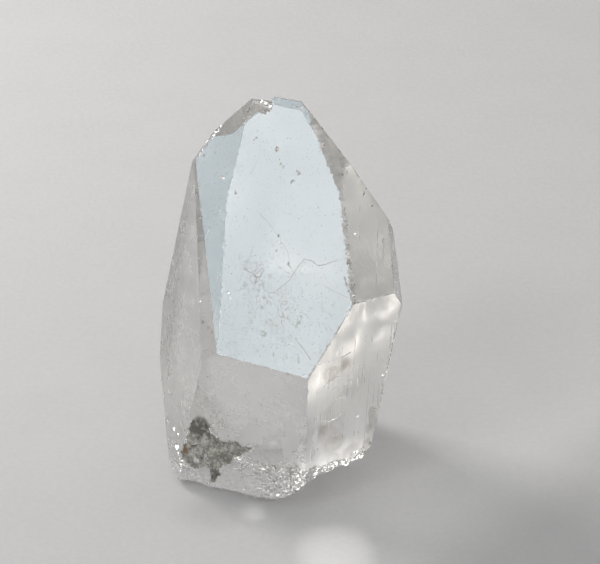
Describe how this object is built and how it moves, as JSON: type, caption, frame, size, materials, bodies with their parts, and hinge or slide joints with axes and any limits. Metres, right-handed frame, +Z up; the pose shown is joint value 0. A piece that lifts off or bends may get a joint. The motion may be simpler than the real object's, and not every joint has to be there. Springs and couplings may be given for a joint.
{
  "type": "quartz crystal",
  "caption": "Stout clear quartz crystal, point up, with large flat faces, a chipped point and a ragged broken base that holds a small dark crust of rock.",
  "frame": {"origin": "on the surface it stands on, under the middle of the crystal's bounding box", "axes": "+Z up along the crystal towards its point, -Y towards the viewer of its largest face, +X to that viewer's right"},
  "size_m": [0.0416, 0.0414, 0.0636],
  "materials": {
    "clear_quartz": "clear, glossy, with pits and veils",
    "dark_rock": "rough, matte, dark grey green with rust stains"
  },
  "bodies": {
    "root": {"crystal": "clear_quartz", "rock_crust": "dark_rock"}
  },
  "joints": []
}
